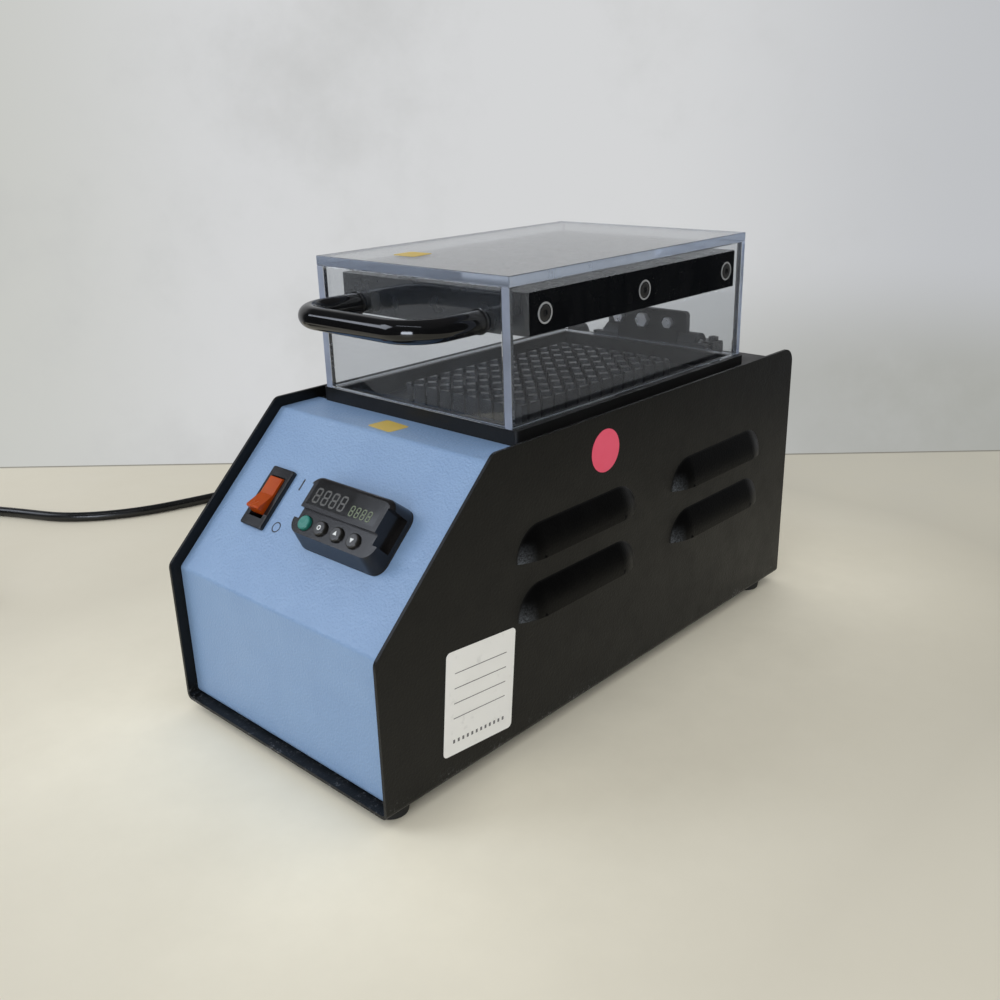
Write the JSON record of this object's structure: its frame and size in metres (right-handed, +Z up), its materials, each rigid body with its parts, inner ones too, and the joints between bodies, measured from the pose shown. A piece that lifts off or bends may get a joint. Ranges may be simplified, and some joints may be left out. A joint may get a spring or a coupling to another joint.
{
  "type": "microsample incubator",
  "caption": "Bench-top dry incubator: louvred bent steel case, sloping control panel and bored sample block under a hinged clear cover with a bow handle.",
  "frame": {"origin": "on the table under the middle of the case, midway between its front and rear edges and between its sides", "axes": "+Z up, +X to the right of someone at the control panel, +Y to the rear; the control panel faces -Y"},
  "size_m": [0.5627, 0.519, 0.2062],
  "materials": {
    "case_black": "satin black powder coat",
    "panel_blue": "pale blue satin paint with a fine grain",
    "frame_black": "matt black coating",
    "dark_rubber": "matt black rubber",
    "black_anodised": "black anodised, fine blasted grain",
    "heater_silicone": "brick-red silicone",
    "insulation": "off-white mineral board",
    "plated_steel": "zinc plated",
    "stainless": "ground stainless",
    "relay_plastic": "moulded black housing",
    "brass": "bright contact brass",
    "pale_plastic": "natural nylon",
    "black_plastic": "fine-textured black moulding",
    "black_screw": "black oxide",
    "black_gloss": "gloss black moulding",
    "rocker_orange": "translucent orange-red rocker",
    "smoke_plastic": "dark smoky moulding",
    "smoke_window": "dark translucent window",
    "key_teal": "teal key",
    "key_grey": "grey key",
    "clear_acrylic": "clear polished acrylic with flame-bright edges",
    "slab_black": "black slab with a fine machined grain",
    "handle_black": "gloss black coated bow",
    "hinge_black": "black coated hinge",
    "cord_black": "black flexible sheath",
    "plug_black": "black moulded plug"
  },
  "bodies": {
    "case": {"chassis_wrap": "case_black", "front_panel": "panel_blue", "rear_cover": "case_black", "well_frame": "frame_black", "well_gasket": "dark_rubber", "sample_block": "black_anodised", "heater_mat": "heater_silicone", "insulation_pad": "insulation", "support_tray": "plated_steel", "block_screws": "plated_steel", "tray_studs": "plated_steel", "tray_nuts": "plated_steel", "thermal_cutout": "plated_steel", "temperature_sensor": "stainless", "solid_state_relay": "relay_plastic", "relay_screws": "plated_steel", "relay_terminals": "brass", "terminal_strip": "pale_plastic", "terminal_screws": "brass", "strip_screws": "plated_steel", "earth_stud": "plated_steel", "earth_nuts": "plated_steel", "power_inlet": "black_plastic", "inlet_contacts": "brass", "inlet_screws": "black_screw", "case_screws": "black_screw", "feet": "dark_rubber", "foot_screws": "plated_steel", "switch_housing": "black_gloss", "switch_terminals": "brass", "controller_seal": "dark_rubber", "controller_bezel": "smoke_plastic", "controller_window": "smoke_window", "controller_case": "black_plastic", "controller_terminals": "black_plastic", "controller_collar": "black_plastic", "hinge_base": "hinge_black", "hinge_base_screws": "black_screw", "hinge_pin": "stainless", "cord_connector": "black_plastic", "cord_tube": "cord_black", "cord_coil": "cord_black", "cord_tail": "cord_black", "mains_plug": "plug_black"},
    "lid": {"cover_box": "clear_acrylic", "lid_slab": "slab_black", "lid_screws": "black_screw", "handle": "handle_black", "handle_washers": "stainless", "handle_screws": "black_screw", "hinge_leaf": "hinge_black", "hinge_leaf_screws": "black_screw"},
    "rocker": {"switch_rocker": "rocker_orange"},
    "key_1": {"key_1": "key_teal"},
    "key_2": {"key_2": "key_grey"},
    "key_3": {"key_3": "key_grey"},
    "key_4": {"key_4": "key_grey"},
    "fuse_drawer": {"fuse_drawer": "black_plastic"}
  },
  "joints": [
    {"name": "lid_hinge", "type": "hinge", "parent": "case", "child": "lid", "pos_m": [0, 0.1235, 0.144], "axis": [-1, 0, 0], "range_deg": [0, 90]},
    {"name": "power_rocker", "type": "hinge", "parent": "case", "child": "rocker", "pos_m": [-0.0406, -0.11681, 0.10364], "axis": [1, 0, 0], "range_deg": [0, 22]},
    {"name": "fuse_slide", "type": "slide", "parent": "case", "child": "fuse_drawer", "axis": [0, 1, 0], "range_m": [0, 0.014]},
    {"name": "key_1_press", "type": "slide", "parent": "case", "child": "key_1", "axis": [0, 0.6964, -0.7177], "range_m": [0, 0.0008], "stiffness_N_per_m": 400, "springref_m": -0.0005},
    {"name": "key_2_press", "type": "slide", "parent": "case", "child": "key_2", "axis": [0, 0.6964, -0.7177], "range_m": [0, 0.0008], "stiffness_N_per_m": 400, "springref_m": -0.0005},
    {"name": "key_3_press", "type": "slide", "parent": "case", "child": "key_3", "axis": [0, 0.6964, -0.7177], "range_m": [0, 0.0008], "stiffness_N_per_m": 400, "springref_m": -0.0005},
    {"name": "key_4_press", "type": "slide", "parent": "case", "child": "key_4", "axis": [0, 0.6964, -0.7177], "range_m": [0, 0.0008], "stiffness_N_per_m": 400, "springref_m": -0.0005}
  ]
}
